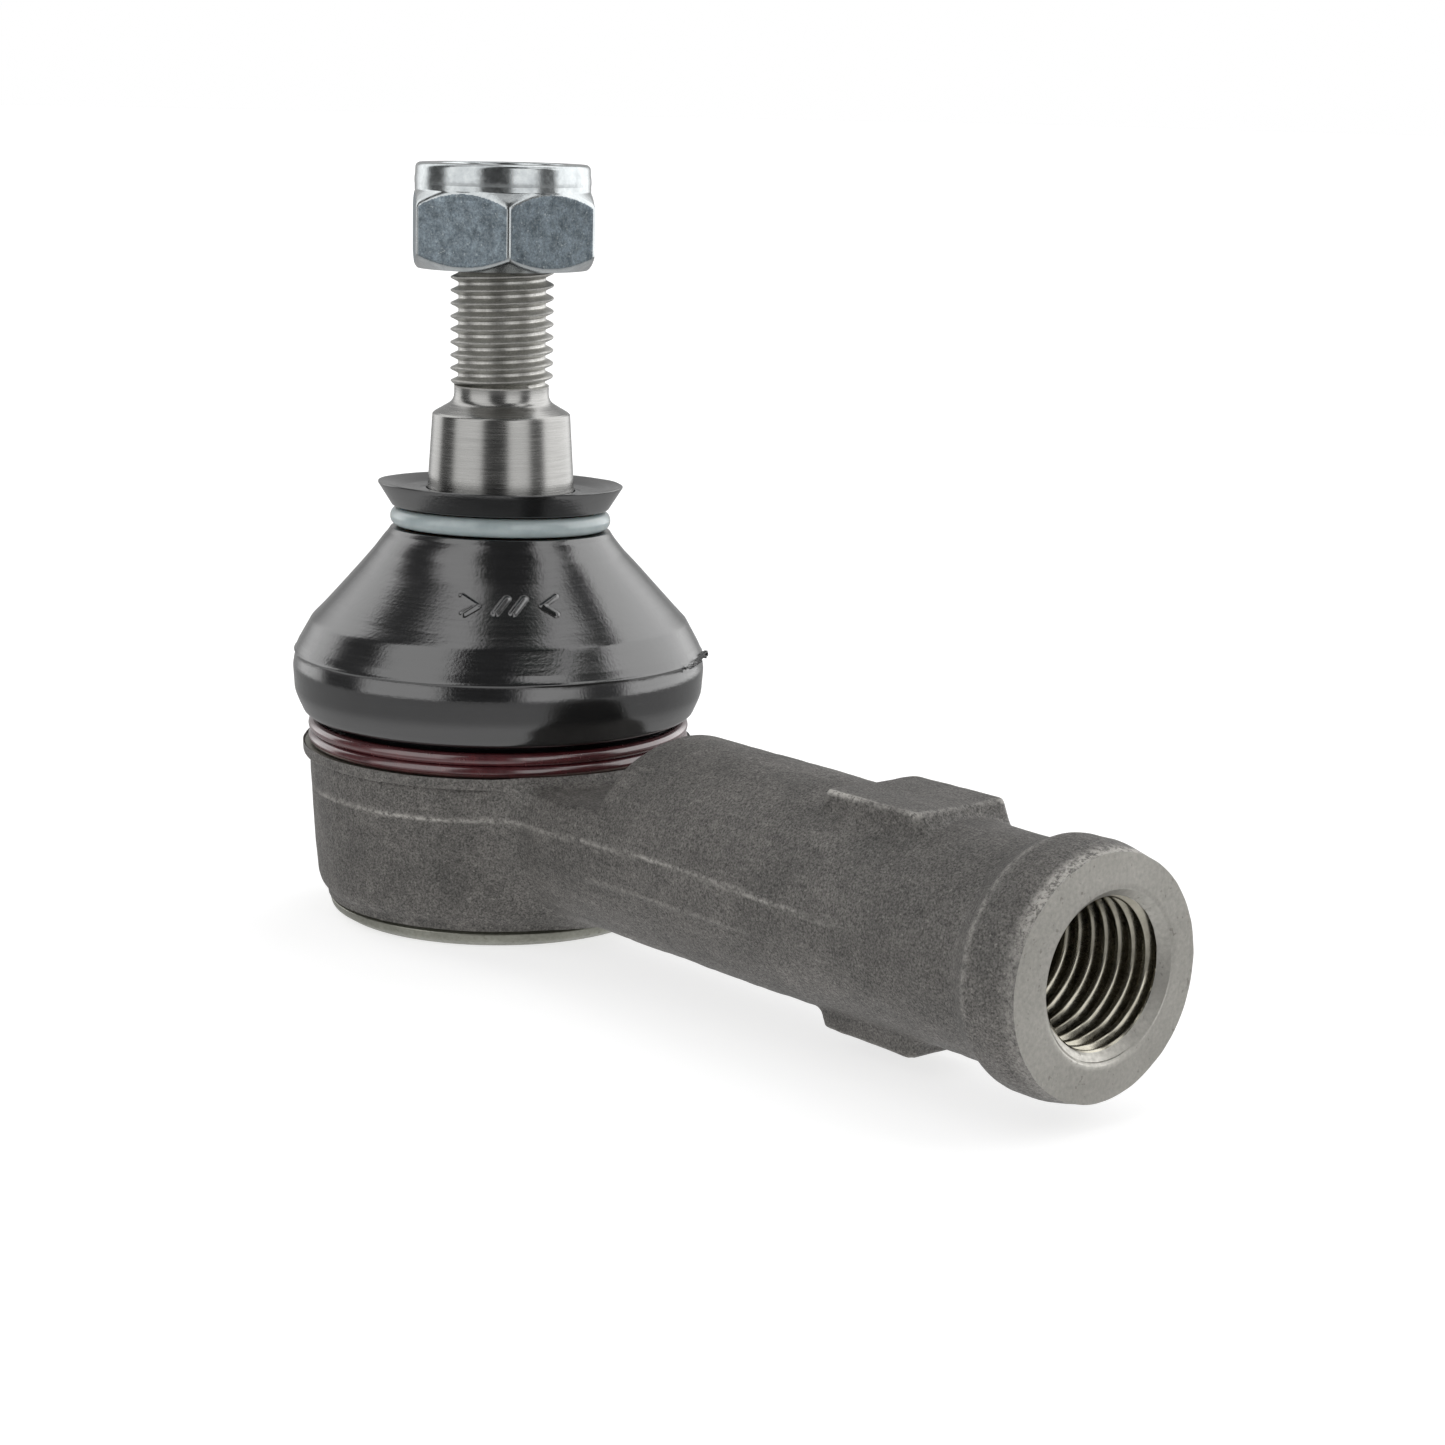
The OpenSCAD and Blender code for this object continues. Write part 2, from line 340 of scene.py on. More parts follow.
def parting_ridge(x, y, z):
    """Flash left at the dies' joint, and the fainter line of the trimming tool under it."""
    wave = 0.65 + 0.35 * flash_wave(x, y, z * 0.2)
    on_side = smoothstep(6.0, 8.5, np.hypot(y, np.minimum(x, 0) * 0.9)) * smoothstep(-14, 0, x)
    joint_z = -1.0 + 0.95 * smoothstep(12, 42, x) - 0.6 * smoothstep(34, 60, x)
    joint_z = joint_z + 0.12 * flash_wave(x * 0.4, y * 0.4, 0 * z)
    joint = 0.13 * np.exp(-((z - joint_z) / 0.18) ** 2) * wave * smoothstep(66, 54, x)
    second_z = -4.0 + 0.013 * (x - 36)
    second = 0.07 * np.exp(-((z - second_z) / 0.22) ** 2) * wave
    second = second * smoothstep(23, 30, x) * smoothstep(56, 46, x)
    step = 0.10 * smoothstep(second_z + 0.1, second_z - 0.5, z)
    step = step * smoothstep(16, 26, x) * smoothstep(62, 48, x)
    return on_side * (joint + second - step)


def smooth_body(x, y, z):
    """The forging without its roughness and its flash."""
    body = smooth_min(head_field(x, y, z), shank_field(x, y, z), 2.6)
    pads = np.minimum(pad_field(x, y, z, 1), pad_field(x, y, z, -1))
    return smooth_min(body, pads, 0.45)


def forging_field(x, y, z):
    """Signed distance to the forging's skin, in millimetres, less than 0 inside."""
    rough = 0.05 * lumps(x, y, z) + 0.035 * grit(x, y, z)
    return smooth_body(x, y, z) - rough - parting_ridge(x, y, z)


def field_gradient(field, p, h=0.02):
    """Slope of the field at each point, from differences over h."""
    out = np.empty_like(p)
    for axis in range(3):
        d = np.zeros(3)
        d[axis] = h
        out[:, axis] = (field(*(p + d).T) - field(*(p - d).T)) / (2 * h)
    return out


def sampled(field, axes):
    """The field's values at every point of a grid."""
    values = np.empty([len(a) for a in axes], np.float32)
    gy, gz = np.meshgrid(axes[1], axes[2], indexing="ij")
    for i, x in enumerate(axes[0]):
        values[i] = field(np.full_like(gy, x), gy, gz)
    return values


def net_points(values):
    """A point in each cell that the surface passes: the middle of where it crosses the cell's edges. The
    points are in cells, and with them comes the grid of their numbers."""
    inside = values < 0
    shape = tuple(n - 1 for n in values.shape)
    total = np.zeros(shape + (3,))
    count = np.zeros(shape)
    corners = [(a, b, c) for a in (0, 1) for b in (0, 1) for c in (0, 1)]

    def part(array, corner):
        return array[tuple(slice(k, k + n) for k, n in zip(corner, shape))]

    for a in corners:
        for axis in range(3):
            if a[axis]:
                continue
            b = tuple(k + (n == axis) for n, k in enumerate(a))
            va, vb = part(values, a), part(values, b)
            crossing = part(inside, a) != part(inside, b)
            t = np.where(crossing, va / np.where(crossing, va - vb, 1), 0)
            for n in range(3):
                total[..., n] += np.where(crossing, a[n] + (t if n == axis else 0), 0)
            count += crossing
    used = count > 0
    index = np.full(shape, -1)
    index[used] = np.arange(used.sum())
    return np.argwhere(used) + total[used] / count[used][:, None], index


def net_quads(inside, index):
    """A quad round each edge of the grid that the surface crosses, facing outwards."""
    quads = []
    for axis in range(3):
        u, v = (axis + 1) % 3, (axis + 2) % 3
        n_along = inside.shape[axis] - 1
        first = np.take(inside, range(n_along), axis)
        second = np.take(inside, range(1, n_along + 1), axis)
        hits = np.argwhere(first != second)
        across = hits[:, [u, v]]
        limit = np.array(inside.shape)[[u, v]] - 1
        hits = hits[((across > 0) & (across < limit)).all(1)]
        ring = []
        for du, dv in ((0, 0), (-1, 0), (-1, -1), (0, -1)):
            at = hits.copy()
            at[:, u] += du
            at[:, v] += dv
            ring.append(index[tuple(at.T)])
        ring = np.stack(ring, 1)
        flip = ~first[tuple(hits.T)]
        ring[flip] = ring[flip][:, ::-1]
        quads.append(ring)
    return np.concatenate(quads)


def surface_net(field, low, high, cell):
    """A quad mesh of where the field is zero, its points pulled onto the true surface."""
    axes = [np.arange(a, b + cell, cell) for a, b in zip(low, high)]
    values = sampled(field, axes)
    points, index = net_points(values)
    points = points * cell + np.array([a[0] for a in axes])
    for _ in range(3):
        slope = field_gradient(field, points)
        value = field(*points.T)
        move = slope * (value / np.maximum((slope ** 2).sum(1), 0.2))[:, None]
        points -= np.clip(move, -0.4 * cell, 0.4 * cell)
    return points, net_quads(values < 0, index)


def head_cutter():
    """What the machining takes from the head: the turned foot with a fine groove under the forged skin,
    the counterbore of the plate, the socket and the boot's seat."""
    top = FOOT_SHOULDER_Z
    profile = rounded([
        (0, FOOT_Z - 1.5, 0), (22, FOOT_Z - 1.5, 0), (22, top - 0.7, 0), (17.4, top - 0.34, 0),
        (16.3, top - 0.12, 0.05), (16.25, top - 0.42, 0.08), (16.75, top - 0.6, 0.12),
        (16.55, top - 1.35, 0.6), (15.5, FOOT_Z, 0.6), (13.0, FOOT_Z, 0), (13.0, -13.5, 0.1),
        (14.4, -13.5, 0), (14.4, -12, 0), (SOCKET_R, -12, 0), (SOCKET_R, 2.2, 0.5), (10.4, 6.2, 0.3),
        (11.0, SEAT_TOP, 0.2), (SEAT_R - 0.3, SEAT_TOP, 0), (SEAT_R, SEAT_TOP - 0.3, 0),
        (SEAT_R, SEAT_LOW, 0.15), (RIM_R - 0.25, SEAT_LOW, 0),
        (RIM_R + 0.4, SEAT_LOW + 0.5, 0.3), (RIM_R + 0.4, 24, 0), (0, 24, 0)])
    return revolve(resampled(profile, 4.0), full_turn(256))


def bore_cutter():
    """What the machining takes from the shank: end face, chamfer and tapped hole. It is turned round Z
    here, with z for the distance along the shank, and laid along X afterwards."""
    angles = helix_turn(128)
    minor = ROD_THREAD_R - BORE_THREAD_DEPTH * ROD_PITCH
    deep = SHANK_END - 34.0

    def trimmed(r, z):
        runout = minor + (ROD_THREAD_R - minor) * smoothstep(deep, deep + 2.5, z)
        return np.maximum(np.minimum(r, runout), BORE_MOUTH_R - (SHANK_END - z))

    last = SHANK_END - 1.2
    rows = thread_tube(deep, last, ROD_THREAD_R, ROD_PITCH, trimmed, angles, 20, BORE_THREAD_DEPTH)
    rise = ROD_PITCH * angles / (2 * np.pi)
    near_face = []
    for z in np.linspace(last, SHANK_END - 0.04, 30)[1:]:
        r = thread_radius((z - rise) / ROD_PITCH, ROD_THREAD_R, ROD_PITCH, BORE_THREAD_DEPTH)
        near_face.append(np.stack([trimmed(r, z), np.full_like(r, z)], -1))
    rows = np.concatenate([rows, near_face])
    tip = [(0.0, deep - 3.6), (minor * 0.5, deep - 1.8)]
    mouth = [(BORE_MOUTH_R + 0.06, SHANK_END), (BORE_MOUTH_R + 0.5, SHANK_END), (14, SHANK_END),
             (14, SHANK_END + 3), (0, SHANK_END + 3)]
    rows = np.concatenate([rings(tip, angles), rows, rings(mouth, angles)])
    return rows_to_xyz(rows, angles), grid_faces(len(rows), len(angles), close_columns=False)


def joined(parts):
    """One list of vertices and faces from several."""
    vertices, faces, base = [], [], 0
    for v, f in parts:
        vertices.append(v)
        faces += [tuple(i + base for i in face) for face in f]
        base += len(v)
    return np.concatenate(vertices), faces


def build_housing():
    low, high = (-20.5, -20.5, FOOT_Z - 1.2), (SHANK_END + 1.2, 20.5, 10.2)
    points, quads = surface_net(forging_field, low, high, 0.31)
    housing = add_object("forged_housing", points, quads)
    bore, bore_faces = bore_cutter()
    bore = np.stack([bore[:, 2], -bore[:, 1], bore[:, 0] + AXIS_Z], -1)
    cut = add_object("cut", *joined([head_cutter(), (bore, bore_faces)]))
    modifier = housing.modifiers.new("cut", "BOOLEAN")
    modifier.operation = "DIFFERENCE"
    modifier.solver = "EXACT"
    modifier.object = cut
    bpy.context.view_layer.update()
    done = bpy.data.meshes.new_from_object(housing.evaluated_get(bpy.context.evaluated_depsgraph_get()))
    housing.modifiers.clear()
    housing.data = done
    bpy.data.objects.remove(cut)
    shade(housing, 32)
    mark_machined(housing)
    mark_wear_and_highlight(housing)
    return housing


def coordinates(items, key):
    """Three arrays, x, y and z in millimetres, from a mesh's points or from its faces' middles."""
    values = np.empty(len(items) * 3)
    items.foreach_get(key, values)
    return (values.reshape(-1, 3) / MM).T


def mark_machined(obj):
    """Gives the faces that the cutters left their materials: the head's, the bore's and the end face's."""
    mesh = obj.data
    x, y, z = coordinates(mesh.polygons, "center")
    in_shank = x > 30
    threaded = (np.hypot(y, z - AXIS_Z) < 7.9) & in_shank
    end = (np.abs(x - SHANK_END) < 0.02) | threaded
    ledge = (z < SEAT_LOW + 0.6) & (np.hypot(x, y) > RIM_R - 1.2) & (z > 0)
    cut = ((forging_field(x, y, z) < -0.05) & ~ledge) | end
    which = np.where(cut, np.where(in_shank, FACED, TURNED), FORGED)
    which[threaded & (x < SHANK_END - 0.9)] = TAPPED
    mesh.polygons.foreach_set("material_index", which.astype(np.int32))


def mark_wear_and_highlight(obj):
    """Stores how far each point stands out on an edge, where the skin has rubbed bright, plus painted
    highlights along the top of the end rim and on the collar's step.
    """
    mesh = obj.data
    x, y, z = coordinates(mesh.vertices, "co")
    h = 0.5
    around = (smooth_body(x + h, y, z) + smooth_body(x - h, y, z) + smooth_body(x, y + h, z)
              + smooth_body(x, y - h, z) + smooth_body(x, y, z + h) + smooth_body(x, y, z - h))
    bend = (around / 6 - smooth_body(x, y, z)) / h
    edge = smoothstep(0.06, 0.28, bend)
    ridge = np.clip(parting_ridge(x, y, z) / 0.12, 0, 1)
    rim = smoothstep(1.7, 0.6, np.abs(x - SHANK_END)) * smoothstep(8.6, 10.0, np.hypot(y, z - AXIS_Z))
    # the rim's rubbing is weighted to its top: this part is a painted highlight where the light falls
    rim *= 0.35 + 0.65 * smoothstep(2.0, 8.5, z - AXIS_Z)
    pad_top = smoothstep(7.4, 9.2, z - AXIS_Z) * smoothstep(8.5, 6.0, np.abs(x - PAD_X))
    front = smoothstep(-2.0, -5.0, y) * smoothstep(64, 56, x) + 0.5 * smoothstep(63.5, 65.5, x)
    wear_and_highlight = 0.4 * edge + 0.9 * ridge + 0.85 * rim + 1.3 * edge * pad_top * front
    # painted highlight: a bright line along the collar's step, only on its upper front side
    step_highlight = 0.4 * np.exp(-((x - 78.2) / 0.35) ** 2)
    step_highlight = step_highlight * smoothstep(-6.0, 4.0, z - AXIS_Z) * smoothstep(2, -4, y)
    seat_rim = smoothstep(1.2, 1.8, z) * (x < 22)
    wear_and_highlight = np.clip(wear_and_highlight + step_highlight, 0, 1) * (1 - 0.8 * seat_rim)
    layer = mesh.attributes.new("wear_and_highlight", "FLOAT", "POINT")
    layer.data.foreach_set("value", wear_and_highlight.astype(np.float32))


# ---------------- stud, nut and insert

def build_stud():
    angles = helix_turn(160)
    ball_angles = np.linspace(math.asin(STUD_FOOT / BALL_R), math.asin(8.9 / BALL_R), 60)
    ball = np.stack([BALL_R * np.cos(ball_angles), BALL_R * np.sin(ball_angles)], -1)
    upper = rounded([
        (ball[-1][0], ball[-1][1], 0), (6.0, 9.6, 1.2), (6.0, 14.0, 2.0), (TAPER_R, 20.0, 2.0),
        (TAPER_R, 26.4, 3.0), (6.71, 35.45, 0.14), (6.5, 35.64, 0.2), (4.6, 36.75, 1.5), (4.6, 38.1, 0.1),
        (RELIEF_R, THREAD_LOW, 0)])
    base = np.concatenate([[(0.0, STUD_FOOT)], ball, resampled(upper, 0.6)[1:]])

    def trimmed(r, z):
        start = RELIEF_R + (z - THREAD_LOW) * 0.9
        end = STUD_THREAD_R + 0.1 - (z - (STUD_TOP - 1.1)) * 0.9
        return np.minimum(np.minimum(r, start), end)

    rows = thread_tube(THREAD_LOW, STUD_TOP, STUD_THREAD_R, STUD_PITCH, trimmed, angles,
                       start=STUD_THREAD_START)
    rim_r = rows[-1, :, 0].min()
    tip = rounded([(rim_r, STUD_TOP, 0), (rim_r - 0.3, STUD_TOP, 0), (1.6, STUD_TOP, 0.1),
                   (0.9, STUD_TOP - 0.5, 0.1), (0.0, STUD_TOP - 0.55, 0)])
    rows = np.concatenate([rings(base, angles), rows, rings(tip, angles)])
    faces = grid_faces(len(rows), len(angles), close_columns=False)
    stud = add_object("threaded_stud", rows_to_xyz(rows, angles), faces)
    for face in stud.data.polygons:
        face.material_index = int(face.center.z > 38.0 * MM)
    return stud


def hex_radius(angles):
    """Radius of the six-sided outline at each angle, with its corners slightly rounded."""
    facing = np.stack([np.cos(angles - NUT_TURN - (n + 0.5) * np.pi / 3) for n in range(6)])
    sharpness = 110.0
    soft = np.log(np.exp(sharpness * (facing - 1)).sum(0)) / sharpness + 1
    return NUT_FLAT_R / soft


def build_nut():
    angles = full_turn(432)
    outline = hex_radius(angles)
    side = np.concatenate([
        np.linspace(NUT_LOW, NUT_LOW + 1.5, 22), np.linspace(NUT_LOW + 1.8, NUT_LOW + 5.6, 9),
        np.linspace(NUT_LOW + 5.8, NUT_LOW + 7.9, 30)])
    rows = []
    for z in side:
        up = z - NUT_LOW
        low_cone = 8.25 + up * 1.25
        high_cone = 8.5 + (7.42 - up) * 1.02
        cone = np.minimum(low_cone, max(high_cone, 8.46))
        flat_line = 0.012 * math.exp(-((up - 6.45) / 0.07) ** 2)
        off_flat = np.abs((angles - NUT_TURN) % (np.pi / 3) - np.pi / 6)
        r = smooth_min(outline + flat_line * (off_flat < 0.36), np.full_like(outline, cone), 0.42)
        r = np.maximum(r, 8.47 * smoothstep(6.9, 7.4, up) ** 0.2)
        rows.append(np.stack([r, np.full_like(r, z)], -1))
    top = rounded([
        (8.47, NUT_LOW + 7.95, 0), (8.5, NUT_LOW + 8.2, 0), (8.49, NUT_LOW + 8.6, 0.6),
        (8.43, NUT_LOW + 9.0, 0.6), (8.40, NUT_TOP, 1.3), (6.35, NUT_TOP, 0.25),
        (6.2, NUT_TOP - 0.5, 0.1), (5.95, NUT_TOP - 0.62, 0), (5.95, NUT_TOP - 0.66, 0)])
    chamber_r = 7.2
    inner = rounded([
        (chamber_r, NUT_TOP - 0.66, 0), (chamber_r, CHAMBER_LOW, 0), (5.03, CHAMBER_LOW, 0)])
    bore_low = NUT_LOW + 0.02

    def trimmed(r, z):
        flare_low = 5.5 - (z - NUT_LOW) * 0.9
        flare_high = 5.03 - (CHAMBER_LOW - z) * 0.9
        return np.maximum(np.maximum(r, flare_low), flare_high)

    rise = STUD_PITCH * angles / (2 * np.pi)
    bore = []
    for z in np.arange(CHAMBER_LOW, bore_low, -STUD_PITCH / 16):
        r = thread_radius((z - rise - STUD_THREAD_START) / STUD_PITCH, STUD_THREAD_R, STUD_PITCH, 0.45) + 0.07
        bore.append(np.stack([trimmed(r, z), np.full_like(r, z)], -1))
    foot = rounded([(5.55, NUT_LOW, 0), (8.0, NUT_LOW, 0.05), (8.25, NUT_LOW + 0.02, 0)])
    rows = np.concatenate([rows, rings(top, angles), rings(inner, angles), bore, rings(foot, angles)])
    nut = add_object("zinc_lock_nut", rows_to_xyz(rows, angles), grid_faces(len(rows), len(angles), True), 40)
    mark_nut_faces(nut)
    return nut


def mark_nut_faces(nut):
    """The six flats have the rough finish; the turned collar and the chamfers are brighter. The rounded
    corners between the flats get the bright finish too, as a painted highlight.
    """
    mesh = nut.data
    for face in mesh.polygons:
        n, c = face.normal, face.center
        out = Vector((c.x, c.y, 0))
        turn = (math.atan2(n.y, n.x) - NUT_TURN) % (math.pi / 3) - math.pi / 6
        flat = abs(n.z) < 0.25 and abs(turn) < 0.10 and out.length > 8.3 * MM and c.z < (NUT_LOW + 7.3) * MM
        bore = out.length < 5.9 * MM
        # every face off a flat gets the bright finish; on the hex corners this is a painted highlight
        face.material_index = 0 if flat or bore else 1


def build_insert():
    low, high = CHAMBER_LOW + 0.03, NUT_TOP - 0.63
    path = rounded([
        (5.06, low + 0.3, 0), (5.06, high - 0.25, 0.2), (5.45, high, 0.25), (7.0, high, 0.3),
        (7.17, high - 0.3, 0.1), (7.17, low + 0.1, 0.1), (7.0, low, 0.1), (5.3, low, 0.1),
        (5.06, low + 0.3, 0)])
    v, f = revolve(resampled(path[:-1], 0.4), full_turn(160), closed=True)
    return add_object("nylon_insert", v, f)


# ---------------- boot and its rings

MARK_AZIMUTH = math.radians(CAMERA_AZIMUTH - 90 + 3.6)
MARK_Z = 18.9
MOULD_LINE_Z = 12.24
BURR_FROM, BURR_TO = math.radians(24), math.radians(50)


def boot_outline():
    """The boot's section: outside from the lip down to the bead, then back up the inside."""
    ring_z = (RING_LOW + RING_HIGH) / 2
    wire_r = (RING_HIGH - RING_LOW) / 2
    groove_r = RING_R - 2 * wire_r - 0.02
    lip_r = BOOT_R - 8.24
    neck_r = TAPER_R + 0.03
    return rounded([
        # the flared lip and the ring's groove under it
        (neck_r, LIP_Z - 0.62, 0), (8.0, LIP_Z - 0.72, 0.3), (9.6, LIP_Z - 0.66, 0.6),
        (10.6, LIP_Z - 0.36, 0.8), (lip_r, LIP_Z, 0.05), (lip_r, LIP_Z - 0.16, 0.06),
        (10.6, LIP_Z - 2.32, 0.2), (groove_r + 0.1, LIP_Z - 2.46, 0.1), (groove_r, ring_z, 0.2),
        (groove_r + 0.1, ring_z - wire_r - 0.02, 0.2), (10.75, ring_z - wire_r - 0.12, 0.15),
        (11.05, LIP_Z - 4.95, 0.12),
        # the cone, the mould line and the bulge
        (12.3, 22.15, 2.0), (15.4, 18.7, 6.0), (17.4, 16.5, 3.0), (18.5, 15.35, 1.2), (19.75, 13.1, 1.0),
        (20.05, 12.42, 0.08), (20.17, MOULD_LINE_Z, 0.04), (20.08, 12.05, 0.08),
        (BOOT_R + 0.1, 10.7, 2.4), (20.1, 8.3, 2.4), (19.25, 6.25, 0.9), (17.9, 5.66, 0.2),
        (17.5, 5.5, 0.1), (17.5, 5.2, 0),
        # the bead, then the inside
        (17.48, SEAT_LOW + 0.15, 0.15), (17.3, SEAT_LOW + 0.03, 0),
        (SEAT_R + 0.02, SEAT_LOW + 0.03, 0.1), (SEAT_R + 0.02, 6.5, 0.4),
        (18.0, 7.9, 1.5), (18.45, 10.6, 2.5), (17.9, 12.9, 2.0), (15.5, 15.6, 3.0), (10.6, 21.2, 2.0),
        (9.2, 22.6, 1.0), (7.7, 22.75, 0.3), (neck_r, 23.2, 0.2), (neck_r, LIP_Z - 0.9, 0)])


def segment_distance(u, v, a, b):
    """Distance from each (u, v) to the stretch from a to b."""
    ax, ay = a
    dx, dy = b[0] - ax, b[1] - ay
    t = np.clip(((u - ax) * dx + (v - ay) * dy) / (dx * dx + dy * dy), 0, 1)
    return np.hypot(u - ax - t * dx, v - ay - t * dy)


def mark_height(u, v):
    """Height of the moulded mark at u across and v up: two chevrons with two slanted bars between."""
    height = np.zeros_like(u)
    for side in (-1, 1):
        tip = (side * 3.1, 0.0)
        for arm in (-1, 1):
            d = segment_distance(u, v, tip, (side * 4.45, arm * 1.05))
            height = np.maximum(height, 0.24 * smoothstep(0.38, 0.02, d))
    for middle in (-0.8, 0.8):
        d = segment_distance(u, v, (middle - 0.55, -0.85), (middle + 0.55, 0.85))
        height = np.maximum(height, 0.26 * smoothstep(0.42, 0.02, d))
    return height


def boot_angles():
    """Columns of the boot's mesh: close together across the mark and the burr, wider elsewhere."""
    fine = np.arange(-0.40, 0.40, 0.0065) + MARK_AZIMUTH
    burr = np.arange(BURR_FROM - 0.05, BURR_TO + 0.05, 0.012)
    between = np.linspace(fine[-1], burr[0], 16)[1:-1]
    rest = np.linspace(burr[-1], fine[0] + 2 * np.pi, 110)[1:-1]
    return np.concatenate([fine, between, burr, rest])


def mark_lift(r, z, angles):
    """How far the mark stands out at each point of the boot's outside."""
    arc = ((angles - MARK_AZIMUTH + np.pi) % (2 * np.pi) - np.pi) * r
    along = (z - MARK_Z) * 1.41  # distance up the cone's slope
    return np.where((np.abs(along) < 2.2) & (r > 13), mark_height(arc, along), 0)


def build_boot():
    def spacing(middle):
        return 0.1 if abs(middle[1] - MARK_Z) < 1.6 and middle[0] > 13.2 else 0.45

    angles = boot_angles()
    path = resampled(boot_outline(), spacing)
    tangent = np.gradient(path, axis=0)
    # the path runs down the outside, so this normal points outwards there
    normal = np.stack([-tangent[:, 1], tangent[:, 0]], -1)
    normal /= np.maximum(np.linalg.norm(normal, axis=1), 1e-9)[:, None]
    bead = int(np.argmin(np.abs(path[:, 1] - 5.3) + 50 * (path[:, 0] < 17.0)))
    outer = (np.arange(len(path)) < bead)[:, None]
    r, z = path[:, 0:1], path[:, 1:2]
    a = angles[None, :]
    x, y = r * np.cos(a), r * np.sin(a)
    zz = np.broadcast_to(z, x.shape)
    wave = make_noise(2.6, 21)
    skin = make_noise(6.0, 22)
    lift = np.where(outer, mark_lift(r, z, a), 0)
    lift = lift + np.where(outer & (z > 7) & (z < LIP_Z - 5.2), 0.05 * skin(x, y, zz), 0)
    near_ridge = np.exp(-((z - MOULD_LINE_Z) / 0.16) ** 2) * (r > 19.5)
    lift = lift + near_ridge * 0.02 * (1 + wave(x, y, zz))
    burr = smoothstep(BURR_FROM, BURR_FROM + 0.06, a) * smoothstep(BURR_TO, BURR_TO - 0.06, a)
    torn = np.clip(0.45 + 0.8 * wave(x * 3.1, y * 3.1, zz * 0.3), 0, 1)
    lift = lift + near_ridge * burr * torn * 0.3
    rows = np.stack([r + normal[:, 0:1] * lift, zz + normal[:, 1:2] * lift], -1)
    rows[..., 1] += 0.05 * wave(x, y, zz) * np.exp(-((z - LIP_Z + 0.05) / 0.2) ** 2) * (r > 11.5)
    rows[..., 1] += near_ridge * burr * 0.2 * wave(x * 2.0, y * 2.0, zz)
    rows[..., 1] += askew(angles)[None, :] * smoothstep(20.5, 23.5, zz) * r / 12.0
    body = rows_to_xyz(rows, angles), grid_faces(len(path), len(angles), True)
    return add_object("rubber_boot", *joined([body, torn_flash()]), 50)


def askew(angles):
    """How far the lip and its ring sit off level at each angle: a little high in front and on the left."""
    front = math.radians(CAMERA_AZIMUTH - 90)
    return 0.30 * np.cos(angles - front) - 0.14 * np.sin(angles - front)


def torn_flash():
    """A thin ragged strip of moulding flash, left standing on the boot's widest line."""
    angles = np.arange(BURR_FROM, BURR_TO, 0.008)
    draw = np.random.default_rng(31)
    count = len(angles)
    ends = np.minimum(1, np.minimum(np.arange(count), np.arange(count)[::-1]) / 4)
    reach = (0.12 + 0.75 * draw.random(count) ** 2.2) * ends
    reach = 0.6 * reach + 0.2 * (np.roll(reach, 1) + np.roll(reach, -1))
    curl = np.convolve(draw.uniform(-0.5, 0.5, count + 2), [0.25, 0.5, 0.25], "valid") * ends
    rise = 0.9 * np.linspace(-0.4, 0.5, count) * ends
    edges = []
    for r, z in ((0, 0.12), (0.6, 0.11), (1, 0.05), (1, -0.05), (0.6, -0.09), (0, -0.12)):
        radius = 19.9 + r * (0.28 + reach)
        edges.append(polar(radius, angles, MOULD_LINE_Z + z + r * (curl + rise)))
    return bar(edges)


def build_upper_ring():
    wire = (RING_HIGH - RING_LOW) / 2
    centre_r = RING_R - wire
    centre_z = (RING_LOW + RING_HIGH) / 2
    turn = full_turn(40)
    squash = 0.92
    path = np.stack([centre_r + wire * np.cos(turn) * squash, centre_z + wire * np.sin(turn)], -1)
    angles = full_turn(200)
    v, f = revolve(path, angles, closed=True)
    v[:, 2] += askew(np.arctan2(v[:, 1], v[:, 0]))
    return add_object("upper_clamp_ring", v, f)


def build_lower_ring():
    """A round wire wound twice round the bead, with both ends cut square."""
    low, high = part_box("boot_lower_ring")
    outer = high.x / MM
    height = (high.z - low.z) / MM
    wire = 0.61
    first = low.z / MM + wire + 0.01
    climb = height - 2 * wire - 0.14
    turns = 2.06
    t = np.linspace(0, turns, 420)
    angle = 2 * np.pi * t + math.radians(150)
    level = first + climb * smoothstep(0.86, 1.14, t)
    edges = []
    for a in full_turn(20):
        edges.append(polar(outer - wire + wire * math.cos(a), angle, level + wire * math.sin(a)))
    return add_object("lower_clamp_ring", *bar(edges), 60)


# ---------------- inner pieces

def turned_piece(name, points):
    v, f = revolve(resampled(rounded(points), 0.8), full_turn(160), closed=points[0][0] > 0)
    return add_object(name, v, f)


def build_plate():
    return turned_piece("dished_plate", [
        (0, -12.3, 0), (8.0, -12.3, 1.0), (9.0, -12.0, 1.0), (14.3, -12.0, 0.1), (14.38, -12.1, 0),
        (14.38, -13.35, 0), (14.25, -13.5, 0.1), (9.4, -13.5, 1.0), (8.4, -13.8, 1.0), (0, -13.8, 0)])


def build_shell():
    """The seat of the ball: a turned ring that holds it above its middle."""
    ball = 11.03
    arc = np.linspace(math.asin(-6.45 / ball), math.asin(5.3 / ball), 40)
    inside = [(ball * math.cos(a), ball * math.sin(a), 0) for a in arc]
    outside = [(10.15, 6.05, 0.1), (10.37, 6.05, 0.1), (13.55, 2.1, 0.3), (13.55, -6.3, 0.2),
               (13.4, -6.48, 0)]
    return turned_piece("ball_seat", inside + outside)


# ---------------- materials

